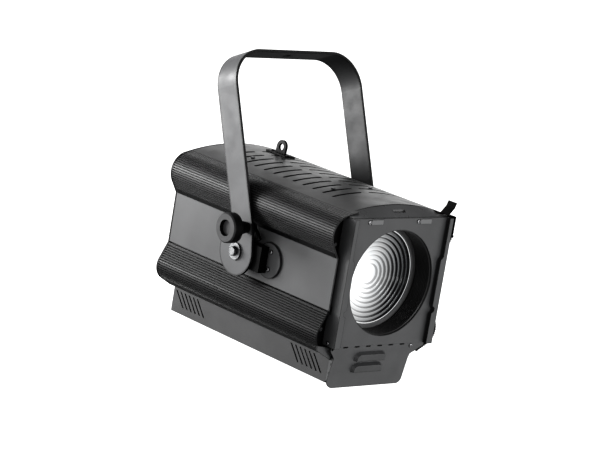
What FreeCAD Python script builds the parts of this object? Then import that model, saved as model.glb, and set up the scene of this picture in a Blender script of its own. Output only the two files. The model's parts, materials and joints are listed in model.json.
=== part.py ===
import FreeCAD, Part
import math
import os
import re
from FreeCAD import Placement, Rotation, Vector

# Theatre Fresnel spotlight with an LED engine. Millimetres, +Z up. The lens faces -Y, so Y
# runs back along the housing; left is -X, as seen by someone who faces the lens. Y is 0 on
# the face of the front plate and Z is 0 under the feet.

doc = FreeCAD.newDocument("fresnel_spotlight")

SIZES = {
    # stations along Y
    "lip_reach": 7.5,
    "plate_thick": 1.5,
    "shell_front": 11.0,
    "shell_rear": 394.0,
    "trim_thick": 3.4,
    "trim_width": 4.2,
    "bulkhead_front": 20.0,
    "bulkhead_thick": 3.0,
    "hood_rear": 19.9,
    "frame_front": 326.0,
    "panel_front": 391.0,
    "panel_thick": 2.0,
    "tray_front": 13.5,
    "tray_rear": 388.0,
    # cross-section of the housing, half widths and heights
    "axis_height": 164.0,
    "wall": 2.6,
    "waist_half": 107.0,
    "waist_top": 200.7,
    "joint_height": 121.0,
    "joint_gap": 2.2,
    "shoulder_half": 93.0,
    "shoulder_height": 236.0,
    "shoulder_radius": 30.7,
    "cover_half": 90.0,
    "cover_slope": 14.6,
    "cover_thick": 1.5,
    "rail_half": 98.0,
    "rail_height": 83.0,
    "rail_radius": 25.0,
    "rail_foot_height": 50.0,
    "label_band": 9.5,
    "strip_margin": 0.6,
    "strip_thick": 0.4,
    "ledge_reach": 9.0,
    "ledge_thick": 2.2,
    "tongue_reach": 8.0,
    "tongue_thick": 2.2,
    "web_height": 14.0,
    "rib_pitch": 3.7,
    "rib_depth": 1.3,
    "fit_gap": 0.25,
    # bottom tray and feet
    "tray_half": 87.0,
    "tray_right": 69.0,
    "driver_centre": -9.0,
    "tray_bottom": 10.0,
    "tray_wall_top": 60.0,
    "tray_end_top": 51.0,
    "sheet_thick": 1.5,
    "vent_pitch": 10.5,
    "vent_top": 45.0,
    "vent_bottom": 21.0,
    "vent_run": 21.5,
    "vent_width": 3.0,
    "foot_radius": 9.0,
    "foot_half_span": 45.0,
    "foot_front": 60.0,
    "foot_rear": 340.0,
    "foot_stem": 2.3,
    # front plate
    "plate_half": 100.0,
    "plate_top": 264.0,
    "plate_bottom": 68.0,
    "lip_width": 12.0,
    "aperture_radius": 81.5,
    "apron_lean": 10.5,
    "apron_drop": 68.6,
    "apron_half": 67.0,
    "apron_left": 87.3,
    "apron_corner": 9.0,
    "apron_far_corner": 16.0,
    "tab_width": 24.0,
    "louvre_width": 62.0,
    "louvre_height": 14.0,
    "louvre_reach": 5.5,
    "louvre_corner": 10.0,
    "louvre_centre": 15.0,
    # top cover
    "slot_rows": 12.0,
    "slot_first": 88.0,
    "slot_pitch": 23.0,
    "slot_inner": 10.0,
    "slot_outer": 62.0,
    "slot_width": 5.0,
    "eye_reach": 12.5,
    "eye_radius": 11.0,
    "eye_bore": 5.5,
    # lens
    "tube_radius": 84.0,
    "tube_bore": 82.0,
    "ridge_pitch": 3.1,
    "tube_rear": 53.0,
    "lens_radius": 76.0,
    "lens_front": 38.0,
    "lens_back": 47.0,
    "ring_pitch": 5.4,
    "ring_count": 11.0,
    # yoke and pivots
    "pivot_depth": 210.0,
    "pivot_height": 158.0,
    "yoke_half": 129.5,
    "yoke_thick": 4.0,
    "yoke_width": 44.6,
    "yoke_height": 303.0,
    "yoke_bend": 55.0,
    "yoke_lean": 23.8,
    "paddle_radius": 37.5,
    "yoke_foot": 50.0,
    "hanging_hole_radius": 6.5,
    "bolt_radius": 5.95,
    "bolt_hole_radius": 6.0,
    "washer_radius": 13.6,
    "washer_thick": 2.5,
    "bolt_flats": 13.0,
    "bolt_head": 5.3,
    "block_half_height": 20.0,
    "block_face": 124.9,
    "disc_radius": 27.0,
    "disc_thick": 3.0,
    "disc_depth": 154.6,
    "quadrant_radius": 54.0,
    "quadrant_thick": 3.4,
    "quadrant_sweep": 57.0,
    "slot_sweep": 46.0,
    "knob_forward": 32.4,
    "knob_rise": 31.0,
    "stud_radius": 4.9,
    "knob_radius": 23.0,
    "knob_head": 18.0,
    "knob_length": 42.5,
    "knob_dish": 5.5,
    # LED engine on its carriage
    "rod_radius": 5.0,
    "rod_half": 80.0,
    "rod_height": 110.0,
    "screw_height": 66.0,
    "bush_clearance": 0.05,
    "carriage_front": 150.0,
    "carriage_thick": 4.0,
    "engine_half": 60.0,
    "heatsink_base": 8.0,
    "heatsink_depth": 76.0,
    "fin_count": 13.0,
    "fin_thick": 2.4,
    "fan_depth": 25.0,
    "fan_bore": 56.0,
    "blade_count": 7.0,
    # rear panel controls
    "button_height": 186.0,
    "button_pitch": 18.0,
    "button_radius": 5.0,
    "display_height": 216.0,
    "board_front": 372.0,
    "socket_half": 52.0,
    "socket_height": 112.0,
    # frame latch
    "latch_width": 18.0,
    "latch_thick": 1.0,
    "latch_pin_height": 236.0,
}

sheet = doc.addObject("Spreadsheet::Sheet", "Sheet")
for row, (word, number) in enumerate(SIZES.items(), start=1):
    sheet.set("A%d" % row, word)
    sheet.set("B%d" % row, str(number))
    sheet.setAlias("B%d" % row, word)
doc.recompute()

WORD = re.compile(r"[A-Za-z_]\w*")
TURN = {
    "x": Rotation(Vector(0, 1, 0), 90),
    "y": Rotation(Vector(1, 0, 0), -90),
    "z": Rotation(),
}
PANEL_SCREW = {"head": (3.4, 2.4), "shank": (1.8, 8.0)}
COVER_SCREW = {"head": (3.4, 1.6), "shank": (1.8, 6.0)}
TUBE_SCREW = {"head": (3.2, 1.6), "shank": (1.8, 6.0)}
PLATE_SCREW = {"head": (3.2, 1.6), "shank": (1.8, 3.0)}
SOCKET_SCREW = {"head": (2.8, 1.4), "shank": (1.5, 4.5)}
BRACKET_SCREW = {"head": (3.6, 2.2), "shank": (1.8, 6.0)}
SCREW_HOLE = 2.0
parts = {}


def size(word):
    """The number that the sheet holds under this alias."""
    return float(sheet.get(word))


def linked(text):
    """An expression in which every alias refers to the sheet."""
    return WORD.sub(lambda m: "Sheet." + m[0] if m[0] in SIZES else m[0], str(text))


def bind(thing, prop, text):
    thing.setExpression(prop, linked(text))


def move(thing, place):
    """Bind an object's position to three expressions."""
    for axis, text in zip("xyz", place):
        bind(thing, "Placement.Base." + axis, text)
    return thing


def keep(label, thing):
    """Make an object a sub-part: its label names the file it is written to."""
    thing.Label = label
    parts[label] = thing
    return thing


# ---------------------------------------------------------------- building helpers


def box(low, extent):
    thing = doc.addObject("Part::Box", "Block")
    for prop, text in zip(("Length", "Width", "Height"), extent):
        bind(thing, prop, text)
    return move(thing, low)


def rod(start, radius, length, axis):
    """A cylinder that runs from start towards plus axis."""
    thing = doc.addObject("Part::Cylinder", "Rod")
    thing.Placement = Placement(Vector(), TURN[axis])
    bind(thing, "Radius", radius)
    bind(thing, "Height", length)
    return move(thing, start)


def hexagon(start, across_flats, length, axis):
    """A six-sided prism that runs from start towards plus axis."""
    thing = doc.addObject("Part::Prism", "Hexagon")
    thing.Polygon = 6
    thing.Placement = Placement(Vector(), TURN[axis])
    bind(thing, "Circumradius", "(%s) / sqrt(3)" % across_flats)
    bind(thing, "Height", length)
    return move(thing, start)


def fuse(*things):
    if len(things) == 1:
        return things[0]
    thing = doc.addObject("Part::MultiFuse", "Union")
    thing.Shapes = list(things)
    return thing


def cut(base, *tools):
    thing = doc.addObject("Part::Cut", "Cut")
    thing.Base = base
    thing.Tool = fuse(*tools)
    return thing


def group(*things):
    """Several equal solids that share one sub-part."""
    thing = doc.addObject("Part::Compound", "Group")
    thing.Links = list(things)
    return thing


def mirrored(source):
    """The same piece on the other side of the plane X = 0."""
    thing = doc.addObject("Part::Mirroring", "Mirror")
    thing.Source = source
    thing.Normal = Vector(1, 0, 0)
    return thing


def both_sides(label, right):
    keep(label + "_right", right)
    keep(label + "_left", mirrored(right))


def line(start, end):
    return Part.LineSegment(Vector(start[0], start[1], 0), Vector(end[0], end[1], 0))


def arc(centre, radius, start, end):
    """Anticlockwise arc between two angles in radians."""
    circle = Part.Circle(Vector(centre[0], centre[1], 0), Vector(0, 0, 1), radius)
    return Part.ArcOfCircle(circle, start, end)


def ring(centre, radius):
    return [Part.Circle(Vector(centre[0], centre[1], 0), Vector(0, 0, 1), radius)]


def run(points):
    return [line(a, b) for a, b in zip(points, points[1:])]


def loop(points):
    return run(list(points) + [points[0]])


def obround(start, end, width):
    """A straight slot with round ends, along either axis of its sketch."""
    angle = math.atan2(end[1] - start[1], end[0] - start[0])
    side = (-math.sin(angle) * width / 2, math.cos(angle) * width / 2)
    return [
        line((start[0] - side[0], start[1] - side[1]), (end[0] - side[0], end[1] - side[1])),
        arc(end, width / 2, angle - math.pi / 2, angle + math.pi / 2),
        line((end[0] + side[0], end[1] + side[1]), (start[0] + side[0], start[1] + side[1])),
        arc(start, width / 2, angle + math.pi / 2, angle + 3 * math.pi / 2),
    ]


def body():
    return doc.addObject("PartDesign::Body", "Body")


def sketch(owner, role, edges, offset="0"):
    """A sketch on one of its body's own planes: XY_Plane, XZ_Plane or YZ_Plane."""
    thing = owner.newObject("Sketcher::SketchObject", "Outline")
    plane = [f for f in owner.Origin.OriginFeatures if f.Role == role][0]
    thing.AttachmentSupport = [(plane, "")]
    thing.MapMode = "FlatFace"
    bind(thing, "AttachmentOffset.Base.z", offset)
    thing.addGeometry(edges, False)
    return thing


def pad(owner, outline, length, backwards=False):
    thing = owner.newObject("PartDesign::Pad", "Pad")
    thing.Profile = outline
    thing.Reversed = backwards
    bind(thing, "Length", length)
    return thing


def pocket(owner, outline, length, backwards=False):
    """Cut an outline into a body, and make sure that it did cut."""
    doc.recompute()
    before = owner.Shape.Volume
    thing = owner.newObject("PartDesign::Pocket", "Pocket")
    thing.Profile = outline
    thing.Reversed = backwards
    bind(thing, "Length", length)
    doc.recompute()
    if owner.Shape.Volume > before - 0.01:
        raise RuntimeError("a pocket missed its body")
    return thing


def turned(points, role="YZ_Plane"):
    """A piece turned about the first axis of its sketch: Y on YZ_Plane, X on XZ_Plane."""
    owner = body()
    outline = sketch(owner, role, loop(points))
    thing = owner.newObject("PartDesign::Revolution", "Turning")
    thing.Profile = outline
    thing.ReferenceAxis = (outline, ["H_Axis"])
    thing.Angle = 360
    return owner


def prism_x(edges, start, length):
    """Outline in Y and Z, from X = start towards +X."""
    owner = body()
    pad(owner, sketch(owner, "YZ_Plane", edges, start), length)
    return owner


def prism_y(edges, start, length):
    """Outline in X and Z, from Y = start towards +Y."""
    owner = body()
    pad(owner, sketch(owner, "XZ_Plane", edges, "-(%s)" % start), length, backwards=True)
    return owner


def prism_z(edges, start, length):
    """Outline in X and Y, from Z = start towards +Z."""
    owner = body()
    pad(owner, sketch(owner, "XY_Plane", edges, start), length)
    return owner


def screws(places, axis, sense, head, shank):
    """Round-headed screws. Each head stands off its place and each shank goes the other way:
    sense is the way that the heads face along the axis."""
    solids = []
    for place in places:
        rise = {"x": 0, "y": 1, "z": 2}[axis]
        crown = list(place)
        stem = list(place)
        if sense < 0:
            crown[rise] = "%s - %s" % (place[rise], head[1])
        else:
            stem[rise] = "%s - %s" % (place[rise], shank[1])
        solids.append(fuse(rod(crown, head[0], head[1], axis), rod(stem, shank[0], shank[1], axis)))
    return group(*solids)


def drill(places, axis, radius, depth):
    """Cylinders that cut a hole right through around each place, depth each way."""
    tools = []
    for place in places:
        start = list(place)
        rise = {"x": 0, "y": 1, "z": 2}[axis]
        start[rise] = "%s - %s" % (place[rise], depth)
        tools.append(rod(start, radius, 2 * depth, axis))
    return fuse(*tools)


# ---------------------------------------------------------------- outline of the housing


def tangent(centre, radius, point, sign):
    """Angle at which a line from point touches a circle, on the side that sign picks."""
    dx = point[0] - centre[0]
    dz = point[1] - centre[1]
    return math.atan2(dz, dx) + sign * math.acos(radius / math.hypot(dx, dz))


def on_circle(centre, radius, angle):
    return (centre[0] + radius * math.cos(angle), centre[1] + radius * math.sin(angle))


def along(point, angle, distance):
    return (point[0] + distance * math.cos(angle), point[1] + distance * math.sin(angle))


SLOPE = math.radians(size("cover_slope"))
SHOULDER = (size("shoulder_half"), size("shoulder_height"))
RAIL = (size("rail_half"), size("rail_height"))
KNEE = (size("waist_half"), size("waist_top"))
SHOULDER_START = tangent(SHOULDER, size("shoulder_radius"), KNEE, 1)
SHOULDER_END = math.pi / 2 - SLOPE
RAIL_FOOT = (size("cover_half"), size("rail_foot_height"))
RAIL_START = tangent(RAIL, size("rail_radius"), RAIL_FOOT, 1)
RAIL_END = tangent(RAIL, size("rail_radius"), (size("waist_half"), size("joint_height")), -1)


def shoulder_points(inset):
    """Corners of the upper outline, moved in by inset: waist, circle start, end, cover edge."""
    radius = size("shoulder_radius") - inset
    start = on_circle(SHOULDER, radius, SHOULDER_START)
    end = on_circle(SHOULDER, radius, SHOULDER_END)
    half = size("waist_half") - inset
    climb = SHOULDER_START + math.pi / 2
    knee = (half, start[1] + (half - start[0]) * math.tan(climb))
    edge = (size("cover_half"), end[1] + (end[0] - size("cover_half")) * math.tan(SLOPE))
    return knee, start, end, edge


def rail_points(inset, top, foot):
    """Corners of the lower outline, moved in by inset: foot, circle start, end, joint."""
    radius = size("rail_radius") - inset
    start = on_circle(RAIL, radius, RAIL_START)
    end = on_circle(RAIL, radius, RAIL_END)
    low = (foot, start[1] + (foot - start[0]) * math.tan(RAIL_START + math.pi / 2))
    climb = math.tan(RAIL_END + math.pi / 2)
    joint = (end[0] + (top - end[1]) / climb, top)
    return low, start, end, joint


def track_point(track, distance, depth):
    """Point at a distance along a track of lines and one arc, sunk by depth."""
    (a, b), (centre, radius, start, end), (c, d) = track
    first = math.hypot(b[0] - a[0], b[1] - a[1])
    second = radius * (end - start)
    if distance < first:
        angle = math.atan2(b[1] - a[1], b[0] - a[0])
        return along(along(a, angle, distance), angle + math.pi / 2, depth)
    if distance < first + second:
        return on_circle(centre, radius - depth, start + (distance - first) / radius)
    angle = math.atan2(d[1] - c[1], d[0] - c[0])
    return along(along(c, angle, distance - first - second), angle + math.pi / 2, depth)


def track_length(track):
    (a, b), (centre, radius, start, end), (c, d) = track
    return math.dist(a, b) + radius * (end - start) + math.dist(c, d)


def ribbed(track, start, stop):
    """Ribs along a track: flat lands with shallow grooves between them."""
    pitch = size("rib_pitch")
    depth = size("rib_depth")
    count = int((stop - start) / pitch)
    flank = 0.15 * pitch
    land = 0.55 * pitch
    points = []
    for i in range(count):
        here = start + i * pitch
        points.append(track_point(track, here, 0))
        points.append(track_point(track, here + land, 0))
        points.append(track_point(track, here + land + flank, depth))
        points.append(track_point(track, here + pitch - flank, depth))
    points.append(track_point(track, start + count * pitch, 0))
    return points


def ledge_points():
    """The ledge under the cover's edge: seat, tip, underside and heel."""
    edge = shoulder_points(0)[3]
    down = -math.pi / 2 - SLOPE
    inward = math.pi - SLOPE
    seat = along(edge, down, size("cover_thick") + size("fit_gap"))
    tip = along(seat, inward, size("ledge_reach"))
    under = along(tip, down, size("ledge_thick"))
    heel = along(under, inward + math.pi, size("ledge_reach") - 1)
    return seat, tip, under, heel


def upper_shell():
    """Waist panel and ribbed shoulder in one extrusion, with a ledge for the top cover."""
    wall = size("wall")
    knee, start, end, edge = shoulder_points(0)
    track = ((knee, start), (SHOULDER, size("shoulder_radius"), SHOULDER_START, SHOULDER_END),
             (end, edge))
    foot = size("joint_height") + size("joint_gap") / 2
    outer = [(size("waist_half"), foot), knee]
    outer += ribbed(track, size("label_band"), track_length(track) - 0.6) + [edge]
    in_knee, in_start, in_end, _ = shoulder_points(wall)
    radius = size("shoulder_radius") - wall
    edges = run(outer + list(ledge_points()) + [in_end])
    edges.append(arc(SHOULDER, radius, SHOULDER_START, SHOULDER_END))
    edges += run([in_start, in_knee, (in_knee[0], foot), outer[0]])
    return prism_y(edges, "shell_front", "shell_rear - shell_front")


def lower_rail():
    """Ribbed lower bulge, with a tongue behind the waist panel and a web beside the tray."""
    wall = size("wall")
    top = size("joint_height") - size("joint_gap") / 2
    tongue = size("waist_half") - wall - 0.2
    web = size("tray_half") + 0.3
    low, start, end, joint = rail_points(0, top, size("cover_half"))
    track = ((low, start), (RAIL, size("rail_radius"), RAIL_START, RAIL_END), (end, joint))
    outer = [low] + ribbed(track, 1.2, track_length(track) - 0.8) + [joint]
    tip = top + size("tongue_reach")
    in_low, in_start, in_end, in_joint = rail_points(wall, top - 4, web + 2)
    back = tongue - size("tongue_thick")
    inner_top = [(tongue, top), (tongue, tip), (back, tip), (back, top - 4), in_joint, in_end]
    web_top = low[1] + size("web_height")
    web_points = [in_start, in_low, (web + 2, web_top), (web, web_top), (web, low[1] + 1.5), low]
    edges = run(outer + inner_top)
    edges.append(arc(RAIL, size("rail_radius") - wall, RAIL_START, RAIL_END))
    edges += run(web_points)
    return prism_y(edges, "shell_front", "shell_rear - shell_front")


COVER_EDGE = shoulder_points(0)[3]
CROWN = size("cover_half") / math.sin(SLOPE)
CROWN_CENTRE = (0.0, COVER_EDGE[1] - CROWN * math.cos(SLOPE))


def crown_height(half, inset=0.0):
    """Height of the crowned top at a distance from the middle."""
    return CROWN_CENTRE[1] + math.sqrt((CROWN - inset) ** 2 - half ** 2)


def end_plate(start, length):
    """A plate that closes the section inside the shells, clear of their ledges and tongues."""
    inset = size("wall") + 0.2
    knee, shoulder_start, _, _ = shoulder_points(inset)
    tongue_foot = size("joint_height") - size("joint_gap") / 2 - 4.4
    tongue_head = tongue_foot + size("tongue_reach") + 4.8
    tongue = size("waist_half") - size("wall") - size("tongue_thick") - 0.6
    low, rail_start, rail_end, joint = rail_points(inset, tongue_foot, 91.0)
    last = SHOULDER_END - 0.2
    high = on_circle(SHOULDER, size("shoulder_radius") - inset, last)
    _, _, under, heel = ledge_points()
    inner = under[0] - 0.5
    crown_inset = size("cover_thick") + 0.35
    half = math.asin(inner / (CROWN - crown_inset))
    corner = size("tray_half") - 2.5
    base = 54.0
    step = 67.0
    edges = run([(0, base), (corner, base), (corner, step), (91.0, step), low, rail_start])
    edges.append(arc(RAIL, size("rail_radius") - inset, RAIL_START, RAIL_END))
    edges += run([rail_end, joint, (tongue, tongue_foot), (tongue, tongue_head),
                  (knee[0], tongue_head), knee, shoulder_start])
    edges.append(arc(SHOULDER, size("shoulder_radius") - inset, SHOULDER_START, last))
    edges += run([high, (heel[0], heel[1] - 0.4), (inner, under[1] - 0.4),
                  (inner, crown_height(inner, crown_inset))])
    edges.append(arc(CROWN_CENTRE, CROWN - crown_inset, math.pi / 2 - half, math.pi / 2))
    edges.append(line((0, CROWN_CENTRE[1] + CROWN - crown_inset), (0, base)))
    right = prism_y(edges, start, length)
    whole = fuse(right, mirrored(right))
    whole.Refine = True
    return whole


def outline_plate(start, length, inset):
    """A plate with the outline of the closed housing, moved in by inset."""
    knee, shoulder_start, shoulder_end, _ = shoulder_points(inset)
    low, rail_start, rail_end, joint = rail_points(inset, size("joint_height"),
                                                   size("cover_half") - inset)
    crown_end = math.pi / 2 - math.asin((size("cover_half") - inset) / (CROWN - inset))
    cover_corner = on_circle(CROWN_CENTRE, CROWN - inset, crown_end)
    base = low[1]
    edges = run([(0, base), low, rail_start])
    edges.append(arc(RAIL, size("rail_radius") - inset, RAIL_START, RAIL_END))
    edges += run([rail_end, joint, knee, shoulder_start])
    edges.append(arc(SHOULDER, size("shoulder_radius") - inset, SHOULDER_START, SHOULDER_END))
    edges += run([shoulder_end, cover_corner])
    edges.append(arc(CROWN_CENTRE, CROWN - inset, crown_end, math.pi / 2))
    edges.append(line((0, CROWN_CENTRE[1] + CROWN - inset), (0, base)))
    right = prism_y(edges, start, length)
    whole = fuse(right, mirrored(right))
    whole.Refine = True
    return whole


# ---------------------------------------------------------------- housing

BRACKET_SPOTS = [("waist_half + disc_thick + 0.05", 151.0, 172.0),
                 ("waist_half + disc_thick + 0.05", 152.0, 145.0)]
both_sides("side_shell", cut(upper_shell(), drill(BRACKET_SPOTS, "x", SCREW_HOLE, 8.0)))
both_sides("lower_rail", lower_rail())
keep("rear_trim", cut(outline_plate("shell_rear + 0.1", "trim_thick", 0.0),
                      outline_plate("shell_rear - 1", "trim_thick + 2", size("trim_width")),
                      rod((0, "shell_rear", "screw_height"), 22, 10, "y")))

# a smooth strip for markings covers the plain band between the waist and the ribs
BAND = ((KNEE, shoulder_points(0)[1]),
        (SHOULDER, size("shoulder_radius"), SHOULDER_START, SHOULDER_END),
        shoulder_points(0)[2:])
strip_start = size("strip_margin")
strip_end = size("label_band") - 0.8
strip_proud = -0.05 - size("strip_thick")
film = prism_y(loop([track_point(BAND, strip_start, -0.05), track_point(BAND, strip_end, -0.05),
                     track_point(BAND, strip_end, strip_proud),
                     track_point(BAND, strip_start, strip_proud)]),
               "shell_front + 3", "shell_rear - shell_front - 6")
keep("label_strips", group(film, mirrored(film)))

HOOD_SEAT = 79.8              # half the width that the hood leaves in the cover
SKY = "320"                   # a height above the whole housing


def cover_sheet():
    """The crowned top, with room for the hood at its front and two rows of vent slots."""
    half_angle = math.asin((size("cover_half") - 0.35) / CROWN)
    under = CROWN - size("cover_thick")
    span = (math.pi / 2 - half_angle, math.pi / 2 + half_angle)
    edges = [arc(CROWN_CENTRE, CROWN, *span), arc(CROWN_CENTRE, under, *span)]
    for angle in span:
        edges.append(line(on_circle(CROWN_CENTRE, under, angle),
                          on_circle(CROWN_CENTRE, CROWN, angle)))
    cover = prism_y(edges, "shell_front", "shell_rear - shell_front")
    rear = size("hood_rear")
    seat = loop([(-HOOD_SEAT, 5), (HOOD_SEAT, 5), (HOOD_SEAT, rear), (-HOOD_SEAT, rear)])
    pocket(cover, sketch(cover, "XY_Plane", seat, SKY), "100")
    slots = []
    for row in range(int(size("slot_rows"))):
        depth = size("slot_first") + row * size("slot_pitch")
        for side in (-1, 1):
            ends = sorted((side * size("slot_inner"), side * size("slot_outer")))
            slots += obround((ends[0], depth), (ends[1], depth), size("slot_width"))
    pocket(cover, sketch(cover, "XY_Plane", slots, SKY), "100")
    return cover


def on_crown(thing, half, depth, rise=0.0):
    """Stand a piece, drawn about the origin, on the curved top and square to its surface."""
    tilt = math.asin(half / CROWN)
    foot = on_circle(CROWN_CENTRE, CROWN + rise, math.pi / 2 - tilt)
    thing.Placement = Placement(Vector(foot[0], depth, foot[1]),
                                Rotation(Vector(0, 1, 0), math.degrees(tilt)))
    return thing


EYE = (36.0, 329.5)
EYE_SPOTS = [(0, dy, 2.5) for dy in (-19, 19)]
COVER_SPOTS = [(-38.0, 118.0), (38.0, 118.0), (-38.0, 309.0)]
cover_holes = [on_crown(group(rod((0, 0, -6), SCREW_HOLE, 12, "z")), x, y)
               for x, y in COVER_SPOTS]
cover_holes.append(on_crown(group(drill(EYE_SPOTS, "z", SCREW_HOLE, 8.0)), *EYE))
keep("top_cover", cut(cover_sheet(), *cover_holes))
cover_screws = [on_crown(screws([(0, 0, 0.1)], "z", 1, **COVER_SCREW), x, y)
                for x, y in COVER_SPOTS]
eye_screws = on_crown(screws(EYE_SPOTS, "z", 1, **COVER_SCREW), *EYE, 0.1)
keep("top_screws", group(*cover_screws, eye_screws))

# the lug for the safety cable stands on a foot that follows the slope of the cover
lug = fuse(box((-11, -23, 0), (22, 46, 2.5)),
           rod((-2, 0, "eye_reach"), "eye_radius", 4, "x"),
           box((-2, "-eye_radius", 1), (4, "2 * eye_radius", "eye_reach - 1")))
keep("safety_eye", on_crown(cut(lug, rod((-3, 0, "eye_reach"), "eye_bore", 6, "x"),
                                drill(EYE_SPOTS, "z", SCREW_HOLE, 5.0)), *EYE, 0.05))

END_SPOTS = [(x, z) for x in (-109.0, 109.0) for z in (221.0, 92.0)]
RODS = [(x, "rod_height") for x in ("-rod_half", "rod_half")]
FRONT_SPOTS = [(x, "bulkhead_front", z) for x, z in END_SPOTS]
PANEL_SPOTS = [(x, "panel_front + panel_thick", z) for x, z in END_SPOTS]
FLANGE_CIRCLE = 88.0
TUBE_SPOTS = [(FLANGE_CIRCLE * math.cos(a), "bulkhead_front - 3.1",
               "axis_height + %.4f" % (FLANGE_CIRCLE * math.sin(a)))
              for a in (math.radians(d) for d in (45, 135, 225, 315))]


def rod_holes(start):
    return drill([(x, start, z) for x, z in RODS], "y", "rod_radius + bush_clearance", 8.0)


keep("front_bulkhead", cut(
    end_plate("bulkhead_front", "bulkhead_thick"),
    rod((0, "bulkhead_front - 1", "axis_height"), "tube_radius + 1", "bulkhead_thick + 2", "y"),
    drill(FRONT_SPOTS + TUBE_SPOTS, "y", SCREW_HOLE, 6.0),
    rod_holes("bulkhead_front"),
    drill([(0, "bulkhead_front", "screw_height")], "y", 7.05, 6.0)))
POWER = ("-socket_half", "socket_height")
DATA_IN = ("socket_half", "socket_height + 19")
DATA_OUT = ("socket_half", "socket_height - 19")
FUSE = ("-socket_half", "socket_height + 36")
SOCKET_SPOTS = [("%s + %d" % (x, 10 * s), "panel_front + panel_thick + 2",
                 "%s - %s" % (z, 12.5 * s)) for x, z in (POWER, DATA_IN, DATA_OUT)
                for s in (-1, 1)]
BUTTONS = ["(%s) * button_pitch" % k for k in (-1.5, -0.5, 0.5, 1.5)]


def panel_hole(spot, radius):
    return drill([(spot[0], "panel_front", spot[1])], "y", radius, 6.0)


keep("rear_panel", cut(
    end_plate("panel_front", "panel_thick"),
    drill(PANEL_SPOTS, "y", SCREW_HOLE, 6.0),
    drill(SOCKET_SPOTS, "y", 1.7, 8.0),
    panel_hole((0, "screw_height"), 7.0),
    panel_hole(POWER, 12.7), panel_hole(DATA_IN, 11.2), panel_hole(DATA_OUT, 11.2),
    panel_hole(FUSE, 6.6),
    box((-32.2, "panel_front - 1", "display_height - 13.2"), (64.4, 10, 26.4)),
    *[panel_hole((x, "button_height"), "button_radius + 0.1") for x in BUTTONS]))
keep("end_screws", group(
    screws(FRONT_SPOTS, "y", -1, **PANEL_SCREW), screws(TUBE_SPOTS, "y", -1, **TUBE_SCREW),
    screws(PANEL_SPOTS, "y", 1, **PANEL_SCREW), screws(SOCKET_SPOTS, "y", 1, **SOCKET_SCREW)))
keep("rear_frame", cut(
    end_plate("frame_front", "bulkhead_thick"),
    rod((0, "frame_front - 1", "axis_height"), "engine_half - 1", "bulkhead_thick + 2", "y"),
    rod_holes("frame_front"),
    drill([(0, "frame_front", "screw_height")], "y", 7.05, 6.0)))

# the tray is a box without a lid, off centre to the left, and a shelf closes the gap between
# its right wall and the right rail
TRAY_LENGTH = "tray_rear - tray_front"
INSIDE = "tray_half + tray_right - 2 * sheet_thick"
tray = cut(
    box(("-tray_half", "tray_front", "tray_bottom"),
        ("tray_half + tray_right", TRAY_LENGTH, "tray_wall_top - tray_bottom")),
    box(("sheet_thick - tray_half", "tray_front + sheet_thick", "tray_bottom + sheet_thick"),
        (INSIDE, TRAY_LENGTH + " - 2 * sheet_thick", 100)),
    box(("sheet_thick - tray_half", "tray_front - 1", "tray_end_top"),
        (INSIDE + " + 10", TRAY_LENGTH + " + 2", 100)))
shelf = fuse(
    box(("tray_right - sheet_thick", "tray_front", "tray_end_top - sheet_thick"),
        ("tray_half - tray_right + sheet_thick", TRAY_LENGTH, "sheet_thick")),
    box(("tray_half - sheet_thick", "tray_front", "tray_end_top - sheet_thick"),
        ("sheet_thick", TRAY_LENGTH, "tray_wall_top - tray_end_top + sheet_thick")))


def vent_outlines():
    """Two rows of leaning slots, one near each end of the tray."""
    outlines = []
    for first in (382.4, 101.1):
        for i in range(6):
            high = first - i * size("vent_pitch")
            low = high - size("vent_run")
            wide = size("vent_width")
            outlines += loop([(high - wide, size("vent_top")), (high, size("vent_top")),
                              (low, size("vent_bottom")), (low - wide, size("vent_bottom"))])
    return outlines


FEET = [(x, y) for x in ("-foot_half_span", "foot_half_span") for y in ("foot_front", "foot_rear")]
keep("bottom_tray", cut(fuse(tray, shelf),
                        prism_x(vent_outlines(), "-tray_half - 5", "2 * tray_half + 10"),
                        drill([(x, y, "tray_bottom") for x, y in FEET], "z", 2.4, 4.0)))
keep("rubber_feet", group(*[
    fuse(rod((x, y, 0), "foot_radius", "tray_bottom", "z"),
         rod((x, y, "tray_bottom - 1"), "foot_stem", "sheet_thick + 1", "z")) for x, y in FEET]))

# ---------------------------------------------------------------- front plate and hood

HALF = size("plate_half")
FLANGE = HALF - size("plate_thick")
LIP = HALF - size("lip_width")


def lipped_plate():
    """The plate, with flanges that run back beside the hood and lips that hold a frame."""
    thick = size("plate_thick")
    reach = size("lip_reach")
    rear = size("hood_rear")
    profile = [(FLANGE, thick), (FLANGE, rear), (HALF, rear), (HALF, -reach), (LIP, -reach),
               (LIP, thick - reach), (FLANGE, thick - reach), (FLANGE, 0)]
    sheet_metal = prism_z(loop(profile + [(-x, y) for x, y in reversed(profile)]),
                          "plate_bottom", "plate_top - plate_bottom")
    aperture = ring((0, size("axis_height")), size("aperture_radius"))
    pocket(sheet_metal, sketch(sheet_metal, "XZ_Plane", aperture, "1"), "5")
    # the lips are narrower at the top and have one notch lower down, so a frame drops in
    narrow = LIP + 4.5
    start = LIP - 1
    top_step = [(start, 199), (LIP, 199), (narrow, 204), (narrow, 270), (start, 270)]
    notch = [(start, 116), (LIP, 116), (narrow, 119), (narrow, 124), (LIP, 127), (start, 127)]
    for outline in (top_step, notch):
        for side in (1, -1):
            pocket(sheet_metal, sketch(sheet_metal, "XZ_Plane",
                                       loop([(side * x, z) for x, z in outline]),
                                       "lip_reach + 1"), "plate_thick + 2")
    return sheet_metal


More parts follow.
